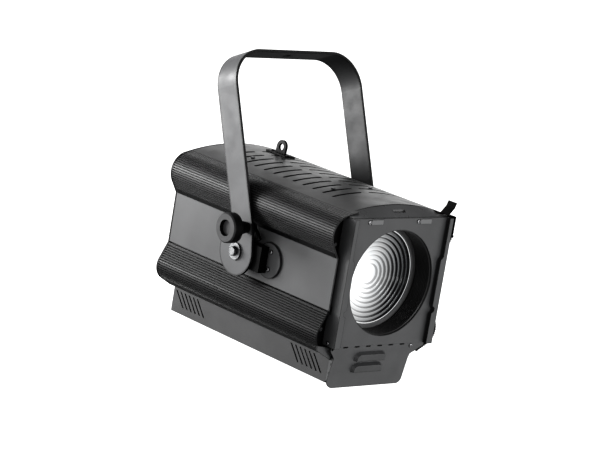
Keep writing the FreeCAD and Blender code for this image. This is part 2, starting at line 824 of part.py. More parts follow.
def leaning(thing):
    """Hang a piece that is drawn upright from the fold below the front plate."""
    thing.Placement = Placement(Vector(), Rotation(Vector(1, 0, 0), size("apron_lean")))
    bind(thing, "Placement.Rotation.Angle", "apron_lean")
    bind(thing, "Placement.Base.z", "plate_bottom")
    return thing


def louvre_outline(top, inset, drop):
    """Outline of a louvre: straight at its mouth, with two round corners above."""
    centre = -size("louvre_centre")
    left_side = centre - size("louvre_width") / 2 + inset
    right_side = centre + size("louvre_width") / 2 - inset
    corner = size("louvre_corner") - inset
    high = top - inset
    mouth = top - size("louvre_height") - drop
    edges = run([(left_side, high - corner), (left_side, mouth), (right_side, mouth),
                 (right_side, high - corner)])
    edges.append(arc((right_side - corner, high - corner), corner, 0, math.pi / 2))
    edges.append(line((right_side - corner, high), (left_side + corner, high)))
    edges.append(arc((left_side + corner, high - corner), corner, math.pi / 2, math.pi))
    return edges


def louvre(top):
    """A pressed hood with its mouth at the bottom, and the tool that hollows it."""
    solids = []
    for margin, back, drop in ((0.0, "-0.4", 0.0), (1.2, "-2.5", 1.0)):
        pressing = body()
        blend = pressing.newObject("PartDesign::AdditiveLoft", "Louvre")
        blend.Profile = sketch(pressing, "XZ_Plane", louvre_outline(top, margin, drop), back)
        blend.Sections = [sketch(pressing, "XZ_Plane", louvre_outline(top, margin + 3.0, drop),
                                 "louvre_reach - %s" % margin)]
        blend.Ruled = True
        solids.append(pressing)
    return solids


def apron_outline():
    """The apron is as wide as the tray behind it. It starts at the foot of the plate."""
    near, far = size("apron_half"), size("apron_left")
    low = -size("apron_drop")
    small, large = size("apron_corner"), size("apron_far_corner")
    first = (HALF - 9, 0.4)
    edges = run([first, (HALF - 9, -5), (near + 1.5, -18), (near, -24), (near, low + small)])
    edges.append(arc((near - small, low + small), small, -math.pi / 2, 0))
    edges.append(line((near - small, low), (large - far, low)))
    edges.append(arc((large - far, low + large), large, math.pi, 1.5 * math.pi))
    edges += run([(-far, low + large), (-far, -18), (2 - HALF, -6), (2 - HALF, 0.4), first])
    return edges


hoods, hollows = zip(louvre(-9.3), louvre(-27.8))
fold_slots = [box((-74.5 + 23 * i, -1, -1.6), (9, 4, 1.8)) for i in range(6)]
APRON_SPOTS = [(64.0, 0, -4.0)]
CORNER_RELIEF = [(-95.0, 0, -3.0)]
apron = leaning(cut(fuse(prism_y(apron_outline(), "0", "plate_thick"), *hoods), *hollows,
                    *fold_slots, drill(APRON_SPOTS + CORNER_RELIEF, "y", SCREW_HOLE, 4.0)))


def behind_apron(height):
    """Place just behind the leaning apron, in Y and Z, at a height."""
    lean_rate = math.tan(math.radians(size("apron_lean")))
    return (lean_rate * (size("plate_bottom") - height) + 0.6, height)


# on the left a return is folded back to the tray's corner
apron_return = cut(prism_x(loop([behind_apron(50), (13.3, 50), (13.3, 13), behind_apron(13)]),
                           "-apron_left", "plate_thick"),
                   box((-90, 4.2, 33), (5, 3.0, 9)), box((-90, 6.6, 23.5), (5, 3.0, 4)))
# a wing of the return closes the lower end of the left rail
wing = prism_y(loop([(-88.5, 46), (-117.5, 61.5), (-118.5, 69.5), (-94, 65.5), (-86, 63),
                     (-86, 46)]), "9.3", "plate_thick")
PLATE_SPOTS = [(x, 0, 258.0) for x in (-65.0, 34.0)]
FLANGE_SPOTS = [("plate_half", 8.0, 73.0)]
tabs = [box((x + 3.4, -0.7, 254), ("tab_width", 1, 8)) for x, _, _ in PLATE_SPOTS]
stops = [box((x, "-lip_reach", "plate_bottom"), ("lip_width", "lip_reach + 0.5", "plate_thick"))
         for x in ("plate_half - lip_width", "-plate_half")]
shoulder_room = [box((x, "shell_front - 0.3", 262), (6, 12, 5)) for x in (97, -103)]
flange_holes = drill(FLANGE_SPOTS, "x", SCREW_HOLE, 5.0)
keep("front_plate", cut(fuse(lipped_plate(), apron, apron_return, wing, *tabs, *stops),
                        drill(PLATE_SPOTS, "y", SCREW_HOLE, 4.0),
                        flange_holes, mirrored(flange_holes), *shoulder_room))
flange_screws = screws(FLANGE_SPOTS, "x", 1, **PLATE_SCREW)
keep("front_plate_screws", group(
    screws(PLATE_SPOTS, "y", -1, **PLATE_SCREW),
    leaning(screws(APRON_SPOTS, "y", -1, **PLATE_SCREW)),
    flange_screws, mirrored(flange_screws)))


def sloping_hood():
    """The hood slopes from the arch of the cover down to the top edge of the front plate."""
    hood = body()
    half_width = FLANGE - 0.2
    radius = CROWN - 0.05
    end = math.asin(half_width / radius)
    base = 262.0
    arch_left, arch_right = (on_circle(CROWN_CENTRE, radius, math.pi / 2 + s * end)
                             for s in (1, -1))
    arch = [arc(CROWN_CENTRE, radius, math.pi / 2 - end, math.pi / 2 + end)]
    arch += run([arch_left, (-half_width, base), (half_width, base), arch_right])
    brow_height = size("plate_top") + 0.4
    brow = loop([(half_width, brow_height), (-half_width, brow_height), (-half_width, base),
                 (half_width, base)])
    blend = hood.newObject("PartDesign::AdditiveLoft", "Hood")
    blend.Profile = sketch(hood, "XZ_Plane", arch, "-hood_rear")
    blend.Sections = [sketch(hood, "XZ_Plane", brow, "-plate_thick - 0.1")]
    blend.Ruled = True
    return hood


hood_sides = [box((x, "shell_front - 0.1", 255), (30, 30, 40))
              for x in (HOOD_SEAT - 0.2, -HOOD_SEAT - 29.8)]
keep("front_hood", cut(sloping_hood(), *hood_sides, box((-12, 8, 270), (24, 4.6, 30))))

# ---------------------------------------------------------------- lens


def tube_profile():
    """Section of the lens tube: a plain bore, a lip for the lens and a mounting flange."""
    skin = size("tube_radius")
    bore = size("tube_bore")
    front = size("plate_thick") + 0.1
    rear = size("tube_rear")
    flange = size("bulkhead_front") - 0.1
    rim = skin + 8
    lens = size("lens_radius") + 0.1
    seat = size("lens_front")
    return [(front, bore), (seat - 2, bore), (seat - 2, lens - 1.5), (seat, lens - 1.5),
            (seat, lens), (rear, lens), (rear, skin), (flange, skin), (flange, rim),
            (flange - 3, rim), (flange - 3, skin), (front, skin)]


def baffle_profile():
    """Section of the liner that stops glare: a thin sleeve with ridges on its inside."""
    bore = size("tube_bore") - 0.05
    front = size("plate_thick") + 0.3
    back = size("lens_front") - 2.1
    pitch = size("ridge_pitch")
    points = [(front, bore), (front, bore - 0.8)]
    for i in range(int((back - front - 2) / pitch)):
        y = front + 1 + pitch * i
        points += [(y, bore - 0.8), (y + 0.3 * pitch, bore - 2.4), (y + 0.5 * pitch, bore - 2.4),
                   (y + 0.7 * pitch, bore - 0.8)]
    return points + [(back, bore - 0.8), (back, bore)]


def lens_profile():
    """Section of the stepped lens: flat at the back, ridged prisms on the front, a plain rim."""
    front = size("lens_front") + 1.2
    root = front + 2.6
    back = size("lens_back")
    pitch = size("ring_pitch")
    points = [(back, 0), (front - 0.6, 0)]
    for i in range(int(size("ring_count"))):
        crest = (i + 1.6) * pitch
        trough = min(crest + pitch, size("lens_radius") - 4.5)
        if i == 0:
            points.append((front + 0.3, crest * 0.6))
            points.append((root, crest))
        points.append((front, crest + 0.15))
        points.append((front + 1.0, (crest + trough) / 2))
        points.append((root, trough))
    rim = size("lens_radius")
    points += [(size("lens_front") + 2, rim - 3.5), (size("lens_front") + 2, rim), (back, rim)]
    return points


def on_axis(thing):
    bind(thing, "Placement.Base.z", "axis_height")
    return thing


def washer_profile(front, back, width):
    """Section of a flat ring at the lens's rim."""
    rim = size("lens_radius")
    return [(front, rim - width), (front, rim), (back, rim), (back, rim - width)]


keep("lens_tube", cut(on_axis(turned(tube_profile())), drill(TUBE_SPOTS, "y", SCREW_HOLE, 8.0)))
keep("glare_baffle", on_axis(turned(baffle_profile())))
keep("fresnel_lens", on_axis(turned(lens_profile())))
keep("lens_gasket", on_axis(turned(
    washer_profile(size("lens_front") + 0.1, size("lens_front") + 1.9, 1.4))))
keep("lens_ring", on_axis(turned(washer_profile(size("lens_back") + 0.1, size("tube_rear"), 4))))

# ---------------------------------------------------------------- frame latch


def bent_strip(points, thickness):
    """Closed outline of a bent strip whose one face runs through the points."""
    angles = [math.atan2(b[1] - a[1], b[0] - a[0]) for a, b in zip(points, points[1:])]
    sides = []
    for point, before, after in zip(points, angles[:1] + angles, angles + angles[-1:]):
        half_turn = (after - before) / 2
        sides.append(along(point, before + half_turn + math.pi / 2,
                           thickness / math.cos(half_turn)))
    return loop(points + sides[::-1])


PIN = (size("plate_half") + 2.7, size("latch_pin_height"))
latch_path = [(PIN[0] + 0.9, PIN[1]), (PIN[0] + 0.9, 266.5), (PIN[0] - 15.0, 269.5),
              (PIN[0] - 6.0, 279.0), (PIN[0] - 2.5, 287.5)]
latch_front = "-latch_width / 2 + 1"
tongue = prism_y(bent_strip(latch_path, size("latch_thick")), latch_front, "latch_width")
knuckle = rod((PIN[0], latch_front + " + 4", PIN[1]), 2.4, "latch_width - 8", "y")
ear_room = [box((PIN[0] - 3, y, PIN[1] - 3), (6, 4.2, 6.2))
            for y in (latch_front + " - 0.1", latch_front + " + latch_width - 4.1")]
pin_hole = rod((PIN[0], -20, PIN[1]), 1.25, 40, "y")
keep("frame_latch", cut(fuse(tongue, knuckle), *ear_room, pin_hole))
keep("latch_pin", rod((PIN[0], latch_front, PIN[1]), 1.2, "latch_width", "y"))
ears = [fuse(rod((PIN[0], y, PIN[1]), 2.4, 3.8, "y"), box(("plate_half", y, PIN[1] - 2.4),
                                                          (2.7, 3.8, 4.8)))
        for y in (latch_front, latch_front + " + latch_width - 3.8")]
keep("latch_ears", group(*[cut(ear, rod((PIN[0], -20, PIN[1]), 1.25, 40, "y")) for ear in ears]))

# ---------------------------------------------------------------- pivots and yoke


def at_pivot(thing, lean="0"):
    """Set down a piece drawn about the pivot axis, leaning back by an angle."""
    thing.Placement = Placement(Vector(), Rotation(Vector(1, 0, 0), -1))
    bind(thing, "Placement.Rotation.Angle", "-(%s)" % lean)
    return move(thing, (0, "pivot_depth", "pivot_height"))


def sector(radius, sweep):
    """Circle sector that is centred on straight up, in Y and Z."""
    last = math.pi / 2 + sweep
    first = math.pi / 2 - sweep
    return [arc((0, 0), radius, first, last),
            line(on_circle((0, 0), radius, last), (0, 0)),
            line((0, 0), on_circle((0, 0), radius, first))]


def arc_slot(radius, half_width, sweep):
    """A curved slot with round ends, centred on straight up."""
    last = math.pi / 2 + sweep
    first = math.pi / 2 - sweep
    return [arc((0, 0), radius + half_width, first, last),
            arc(on_circle((0, 0), radius, last), half_width, last, last + math.pi),
            arc((0, 0), radius - half_width, first, last),
            arc(on_circle((0, 0), radius, first), half_width, first - math.pi, first)]


STUD_REACH = math.hypot(size("knob_forward"), size("knob_rise"))
block = fuse(box((110, -53, "-block_half_height"),
                 ("block_face - 110", 53, "2 * block_half_height")),
             rod((110, 0, 0), "block_half_height", "block_face - 110", "x"))
quadrant = prism_x(sector(size("quadrant_radius"), math.radians(size("quadrant_sweep"))),
                   "block_face - quadrant_thick", "quadrant_thick")
pocket(quadrant, sketch(quadrant, "YZ_Plane",
                        arc_slot(STUD_REACH, size("stud_radius") + 0.4,
                                 math.radians(size("slot_sweep"))), "block_face + 1"), "10")
mount_disc = rod(("waist_half + 0.05", "disc_depth - pivot_depth", 0), "disc_radius", "disc_thick",
                 "x")
disc_spots = [(x, y - size("pivot_depth"), z - size("pivot_height"))
              for x, y, z in BRACKET_SPOTS]
bracket = at_pivot(cut(fuse(block, quadrant, mount_disc),
                       rod((105, 0, 0), "bolt_hole_radius", 30, "x"),
                       drill(disc_spots, "x", SCREW_HOLE, 8.0)))
both_sides("yoke_bracket", bracket)
bracket_screws = screws(BRACKET_SPOTS, "x", 1, **BRACKET_SCREW)
keep("bracket_screws", group(bracket_screws, mirrored(bracket_screws)))
washer = cut(rod(("yoke_half + 0.1", 0, 0), "washer_radius", "washer_thick", "x"),
             rod(("yoke_half - 1", 0, 0), "bolt_hole_radius + 0.3", 10, "x"))
disc = cut(rod(("block_face", 0, 0), "washer_radius", "yoke_half - yoke_thick - block_face - 0.1",
               "x"),
           rod(("block_face - 1", 0, 0), "bolt_hole_radius + 0.3", 10, "x"))
bolt = fuse(rod((111, 0, 0), "bolt_radius", "yoke_half + washer_thick - 110", "x"),
            hexagon(("yoke_half + washer_thick + 0.1", 0, 0), "bolt_flats", "bolt_head", "x"))
for label, piece in (("pivot_bolts", bolt), ("pivot_washers", washer), ("friction_discs", disc)):
    keep(label, group(at_pivot(piece), mirrored(piece)))

YOKE = size("yoke_half")
YOKE_FOOT = size("yoke_foot")


def strap():
    """The yoke's flat bar, bent twice, down to where its arms narrow to their paddles."""
    edges = []
    inner = YOKE - size("yoke_thick")
    for half, height, radius in (
            (YOKE, size("yoke_height"), size("yoke_bend")),
            (inner, size("yoke_height") - size("yoke_thick"),
             size("yoke_bend") - size("yoke_thick"))):
        corner = (half - radius, height - radius)
        edges += run([(half, YOKE_FOOT), (half, corner[1])])
        edges += run([(corner[0], height), (-corner[0], height)])
        edges += run([(-half, corner[1]), (-half, YOKE_FOOT)])
        edges += [arc(corner, radius, 0, math.pi / 2),
                  arc((-corner[0], corner[1]), radius, math.pi / 2, math.pi)]
    edges += run([(inner, YOKE_FOOT), (YOKE, YOKE_FOOT)])
    edges += run([(-YOKE, YOKE_FOOT), (-inner, YOKE_FOOT)])
    return prism_y(edges, "-yoke_width", "yoke_width")


def shin():
    """The part of an arm that runs from the strap's front edge to the paddle."""
    width = size("yoke_width")
    crest = (-width, 28.0)
    touch = on_circle((0, 0), size("paddle_radius"),
                      tangent((0, 0), size("paddle_radius"), crest, 1))
    return prism_x(loop([(0, 0), touch, crest, (-width, YOKE_FOOT + 4), (0, YOKE_FOOT + 4)]),
                   "yoke_half - yoke_thick", "yoke_thick")


paddle = rod(("yoke_half - yoke_thick", 0, 0), "paddle_radius", "yoke_thick", "x")
pivot_hole = rod(("-yoke_half - 1", 0, 0), "bolt_hole_radius", "2 * yoke_half + 2", "x")
stud_hole = rod(("-yoke_half - 1", "-knob_forward", "knob_rise"), "stud_radius + 0.1", 10, "x")
hanging_hole = rod((0, "-yoke_width / 2", "yoke_height - 10"), "hanging_hole_radius", 20, "z")
right_leg = fuse(shin(), paddle)
yoke = cut(fuse(strap(), right_leg, mirrored(right_leg)), pivot_hole, stud_hole, hanging_hole)
yoke.Refine = True
keep("yoke", at_pivot(yoke, "yoke_lean"))


def on_stud(thing):
    """Set down a piece drawn about the X axis on the axis of the locking stud."""
    return at_pivot(group(move(group(thing), (0, "-knob_forward", "knob_rise"))), "yoke_lean")


KNOB_FACE = -YOKE - size("knob_length")


def knob_profile():
    """Section of the lock knob: a stem, a round head and a shallow dish in its face."""
    radius = size("knob_radius")
    shoulder = KNOB_FACE + size("knob_head")
    dish = KNOB_FACE + size("knob_dish")
    bore = KNOB_FACE + 12
    return [(-YOKE - 0.1, 5.0), (-YOKE - 0.1, 8.0), (shoulder, 13.0), (shoulder, radius - 2),
            (shoulder - 2, radius), (KNOB_FACE + 2, radius), (KNOB_FACE, radius - 2),
            (KNOB_FACE, 12.5), (dish, 11.5), (dish, 0), (bore, 0), (bore, 5.0)]


keep("lock_knob", on_stud(turned(knob_profile(), "XZ_Plane")))
keep("lock_stud", on_stud(rod((KNOB_FACE + 12.1, 0, 0), "stud_radius", -127.1 - KNOB_FACE, "x")))
NUT_FACE = size("quadrant_thick") - size("block_face")
keep("clamp_nut", on_stud(cut(rod((NUT_FACE + 0.3, 0, 0), 7.8, 5.0, "x"),
                              rod((NUT_FACE - 1, 0, 0), "stud_radius + 0.05", 10.0, "x"))))

# ---------------------------------------------------------------- LED engine


def tube(start, outer, bore, length, axis="y"):
    return cut(rod(start, outer, length, axis),
               rod([start[0], "%s - 1" % start[1], start[2]], bore, "%s + 2" % length, axis))


def flanged(spot, body_start, body_length, flange_start, flange_length, radii):
    """A bush along Y with a flange. Radii are body, flange and bore."""
    body_radius, flange_radius, bore = radii
    solid = fuse(rod((spot[0], body_start, spot[1]), body_radius, body_length, "y"),
                 rod((spot[0], flange_start, spot[1]), flange_radius, flange_length, "y"))
    return cut(solid, rod((spot[0], "%s - 1" % body_start, spot[1]), bore, "%s + 30" % body_length,
                          "y"))


SCREW = (0, "screw_height")
BORE = "rod_radius + bush_clearance"
keep("guide_rods", group(*[rod((x, "bulkhead_front", z), "rod_radius",
                               "frame_front + bulkhead_thick - bulkhead_front", "y")
                           for x, z in RODS]))
keep("screw_bearings", group(
    flanged(SCREW, "bulkhead_front", 6, "bulkhead_front + bulkhead_thick", 3, (7.0, 10, BORE)),
    flanged(SCREW, "frame_front - 3", 6, "frame_front - 3", 3, (7.0, 10, BORE))))
SPINDLE = size("rod_radius")
SPINDLE_END = 412.0


def leadscrew_profile():
    """Section of the leadscrew, with the collar that runs against the rear bearing."""
    front = size("bulkhead_front") + 0.5
    collar = size("frame_front") + size("bulkhead_thick") + 0.2
    return [(front, 0), (front, SPINDLE), (collar, SPINDLE), (collar, 8), (collar + 5, 8),
            (collar + 5, SPINDLE), (SPINDLE_END, SPINDLE), (SPINDLE_END, 0)]


keep("leadscrew", move(turned(leadscrew_profile()), (0, 0, "screw_height")))
SOCKET_END = SPINDLE_END + 0.1
grip = turned([(395, SPINDLE + 0.05), (395, 17), (397, 20), (415, 20), (417, 18), (417, 0),
               (SOCKET_END, 0), (SOCKET_END, SPINDLE + 0.05)])
flutes = [rod((21.5 * math.cos(a), 398, 21.5 * math.sin(a)), 3, 25, "y")
          for a in (math.radians(30 * i) for i in range(12))]
keep("focus_knob", move(cut(grip, *flutes), (0, 0, "screw_height")))

carriage = prism_y(loop([(-92, 92), (-16, 92), (-16, 52), (16, 52), (16, 92), (92, 92),
                         (92, 224), (-92, 224)]), "carriage_front", "carriage_thick")
bush_holes = [rod((x, "carriage_front - 5", z), 8.05, 20, "y") for x, z in RODS + [SCREW]]
keep("carriage_plate", cut(carriage, *bush_holes))
CARRIAGE_BACK = "carriage_front + carriage_thick"
keep("carriage_bushes", group(*[
    flanged(spot, "carriage_front - 10", 18, CARRIAGE_BACK, 4, (8, 11, BORE)) for spot in RODS]))
keep("leadscrew_nut", flanged(SCREW, "carriage_front - 10", 18, CARRIAGE_BACK, 4, (8, 12, BORE)))

ENGINE_FOOT = "axis_height - engine_half"
sink = [box(("-engine_half", CARRIAGE_BACK, ENGINE_FOOT),
            ("2 * engine_half", "heatsink_base", "2 * engine_half"))]
for i in range(int(size("fin_count"))):
    share = i / (size("fin_count") - 1)
    sink.append(box(("-engine_half + %.4f * (2 * engine_half - fin_thick)" % share,
                     CARRIAGE_BACK + " + heatsink_base - 1", ENGINE_FOOT),
                    ("fin_thick", "heatsink_depth - heatsink_base + 1", "2 * engine_half")))
keep("heatsink", fuse(*sink))
keep("led_module", fuse(box((-40, "carriage_front - 2.5", "axis_height - 40"), (80, 2.5, 80)),
                        rod((0, "carriage_front - 3.8", "axis_height"), 22, 2, "y")))
keep("led_clamp", tube((0, "carriage_front - 5.5", "axis_height"), 38, 24, 3))

FAN_FRONT = CARRIAGE_BACK + " + heatsink_depth"
fan_box = box(("-engine_half", FAN_FRONT, ENGINE_FOOT),
              ("2 * engine_half", "fan_depth", "2 * engine_half"))
duct = rod((0, FAN_FRONT + " - 1", "axis_height"), "fan_bore", "fan_depth + 2", "y")
hub_plate = rod((0, FAN_FRONT + " + fan_depth - 3", "axis_height"), 18, 3, "y")
fan_spindle = rod((0, FAN_FRONT + " + 6", "axis_height"), 4, "fan_depth - 8", "y")
struts = []
for i in range(4):
    strut = box((0, 0, 0), ("fan_bore + 2", 3, 4))
    turn_y = Rotation(Vector(0, 1, 0), 45 + 90 * i)
    centring = turn_y.multVec(Vector(0, 0, -2))
    strut.Placement = Placement(centring, turn_y)
    struts.append(move(strut, (centring.x, FAN_FRONT + " + fan_depth - 3",
                               "axis_height + %.4f" % centring.z)))
keep("fan_frame", fuse(cut(fan_box, duct), hub_plate, fan_spindle, *struts))
rotor = [rod((0, FAN_FRONT + " + 3", "axis_height"), 19, 17.5, "y")]
for i in range(int(size("blade_count"))):
    angle = 360.0 * i / size("blade_count")
    tilt = Rotation(Vector(0, 1, 0), angle).multiply(Rotation(Vector(1, 0, 0), 38))
    blade = box((0, 0, 0), (36, 18, 1.8))
    start = tilt.multVec(Vector(18, -9, -0.9))
    blade.Placement = Placement(start, tilt)
    rotor.append(move(blade, (start.x, FAN_FRONT + " + %.4f" % (11.5 + start.y),
                              "axis_height + %.4f" % start.z)))
keep("fan_rotor", cut(fuse(*rotor), rod((0, FAN_FRONT, "axis_height"), 4.08, "fan_depth", "y")))
keep("led_driver", box(("driver_centre - 70", 60, "tray_bottom + sheet_thick + 0.1"),
                       (140, 220, 32)))

# ---------------------------------------------------------------- controls and sockets

OUTSIDE = "panel_front + panel_thick"
SPACERS = [(x, z) for x in (-68, 68) for z in (178, 226)]
switches = [box((x + " - 3", "board_front + 2", "button_height - 3"), (6, 1, 6)) for x in BUTTONS]
keep("control_board", cut(fuse(box((-75, "board_front", 172), (150, 2, 60)), *switches),
                          drill([(x, "board_front", z) for x, z in SPACERS], "y", 1.6, 5.0)))
keep("board_spacers", group(*[tube((x, "board_front + 2", z), 3.5, 1.6, 17)
                              for x, z in SPACERS]))
keep("display", fuse(box((-30, "board_front + 2", "display_height - 11"), (60, 10, 22)),
                     box((-32, "board_front + 8", "display_height - 13"), (64, 12.2, 26))))
for number, x in enumerate(BUTTONS, start=1):
    keep("menu_button_%d" % number, fuse(
        rod((x, "panel_front - 2.1", "button_height"), "button_radius + 1.3", 2, "y"),
        rod((x, "panel_front - 2", "button_height"), "button_radius", 7, "y"),
        rod((x, "board_front + 4.2", "button_height"), 2, "panel_front - board_front - 6.2", "y")))


def socket(spot, body_radius, bore, insert):
    """A panel socket with a square flange. The insert carries the contacts."""
    x, z = spot
    solid = fuse(box(("%s - 13" % x, OUTSIDE, "%s - 15.5" % z), (26, 2, 31)),
                 rod((x, "panel_front - 26", z), body_radius, "panel_thick + 26.5", "y"))
    hollow = rod((x, "panel_front - 14", z), bore, 40, "y")
    return cut(fuse(cut(solid, hollow), *insert),
               drill([("%s - 10" % x, OUTSIDE, "%s + 12.5" % z),
                      ("%s + 10" % x, OUTSIDE, "%s - 12.5" % z)], "y", 1.7, 5.0))


def contacts(spot, start, radius, length):
    """Five round contacts on part of a circle."""
    return [rod(("%s + %.4f" % (spot[0], 5 * math.cos(a)), start,
                 "%s + %.4f" % (spot[1], 5 * math.sin(a))), radius, length, "y")
            for a in (math.radians(-126 + 63 * i) for i in range(5))]


keep("power_inlet", socket(POWER, 12.5, 10.0,
                           [rod((POWER[0], "panel_front - 15", POWER[1]), 3.5, 12, "y")]))
keep("data_input", socket(DATA_IN, 11.0, 8.8, contacts(DATA_IN, "panel_front - 15", 1.0, 11)))
plug_face = rod((DATA_OUT[0], "panel_front - 15", DATA_OUT[1]), 7.6, 16, "y")
keep("data_output", socket(DATA_OUT, 11.0, 8.8,
                           [cut(plug_face, *contacts(DATA_OUT, "panel_front - 8", 1.2, 20))]))
keep("fuse_holder", fuse(rod((FUSE[0], "board_front", FUSE[1]), 6.4, 21, "y"),
                         rod((FUSE[0], OUTSIDE, FUSE[1]), 8.5, 7, "y")))

# ---------------------------------------------------------------- check and write

doc.recompute()
for thing in doc.Objects:
    if "Invalid" in thing.State or "Error" in thing.State:
        raise RuntimeError("%s (%s) failed: %s" % (thing.Name, thing.Label, thing.State))
for label, thing in parts.items():
    if thing.Shape.isNull() or not thing.Shape.isValid() or not thing.Shape.Solids:
        raise RuntimeError("%s has no valid solid" % label)
os.makedirs("parts", exist_ok=True)
for label, thing in parts.items():
    thing.Shape.exportStep(os.path.join("parts", label + ".step"))
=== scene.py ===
import json
import math
import bmesh
import bpy
from mathutils import Matrix, Vector


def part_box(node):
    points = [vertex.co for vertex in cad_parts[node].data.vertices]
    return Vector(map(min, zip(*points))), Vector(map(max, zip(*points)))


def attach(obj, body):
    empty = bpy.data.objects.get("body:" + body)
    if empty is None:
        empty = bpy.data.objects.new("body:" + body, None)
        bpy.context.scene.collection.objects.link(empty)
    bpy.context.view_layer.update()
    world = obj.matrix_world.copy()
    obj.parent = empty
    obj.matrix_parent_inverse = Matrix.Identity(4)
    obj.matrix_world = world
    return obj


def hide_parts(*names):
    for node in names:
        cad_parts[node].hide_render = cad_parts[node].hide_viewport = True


# A theatre Fresnel spotlight: the looks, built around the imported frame. Metres, +Z up; the
# lens faces -Y and the lock knob is on -X. MM turns millimetres into metres.

MM = 0.001
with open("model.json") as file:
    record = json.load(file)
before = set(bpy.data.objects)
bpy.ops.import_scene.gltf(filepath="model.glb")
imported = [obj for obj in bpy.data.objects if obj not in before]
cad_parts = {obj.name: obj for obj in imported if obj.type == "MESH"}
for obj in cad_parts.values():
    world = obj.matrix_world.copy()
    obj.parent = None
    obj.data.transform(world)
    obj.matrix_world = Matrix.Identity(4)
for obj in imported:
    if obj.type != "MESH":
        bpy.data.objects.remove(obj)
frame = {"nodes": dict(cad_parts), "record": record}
nodes = frame["nodes"]
record = frame["record"]
SLOT = {part["node"]: part["material_slot"] for part in record["subparts"]}
BODY = {node: body for body, members in record["behaviour"]["bodies"].items() for node in members}
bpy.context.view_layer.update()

# ---------------------------------------------------------------- places on the object

# the plain waist panel of the side extrusions lies between these heights
WAIST_FOOT, WAIST_TOP = 120.4 * MM, 200.7 * MM

LENS_LOW, LENS_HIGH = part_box("fresnel_lens")
LENS_Z = (LENS_LOW[2] + LENS_HIGH[2]) / 2
LENS_RADIUS = (LENS_HIGH[2] - LENS_LOW[2]) / 2
# painted light: the middle and the shape of a glow painted into the lens, off its axis
PAINTED_GLOW_SPOT = (-27 * MM, LENS_LOW[1] + 8 * MM, LENS_Z - 3 * MM)
PAINTED_GLOW_SHAPE = (1.0, 0.0, 0.82)         # the glow is a little taller than wide

# two tabs beside the top screws of the front plate: heights, middles across, half width
TAB_FOOT, TAB_TOP = 254 * MM, 262 * MM
TAB_MIDDLES = (-49.6 * MM, 49.4 * MM)
TAB_HALF = 12 * MM
TAB_BLUR = 0.3 * MM                   # half the width of the tabs' soft edge

DISC_FACE = 110.3 * MM                # just outside the outer face of the bracket's disc
KNOB_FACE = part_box("lock_knob")[0][0]
KNOB_LIT_DEPTH = 6.1 * MM                # how deep behind its face the knob's painted highlight reaches
APRON_LEAN = math.radians(10.5)

# ---------------------------------------------------------------- materials


def add_node(tree, kind, inputs=(), **settings):
    """Add a shader node. An input is given a value, or a socket to link from."""
    node = tree.nodes.new("ShaderNode" + kind)
    for word, value in settings.items():
        setattr(node, word, value)
    for socket, value in dict(inputs).items():
        if isinstance(value, bpy.types.NodeSocket):
            tree.links.new(value, node.inputs[socket])
        else:
            node.inputs[socket].default_value = value
    return node


def shades(base, spread):
    """A darker and a lighter shade of a grey."""
    return tuple(c * (1 - spread) for c in base), tuple(min(1.0, c * (1 + spread)) for c in base)


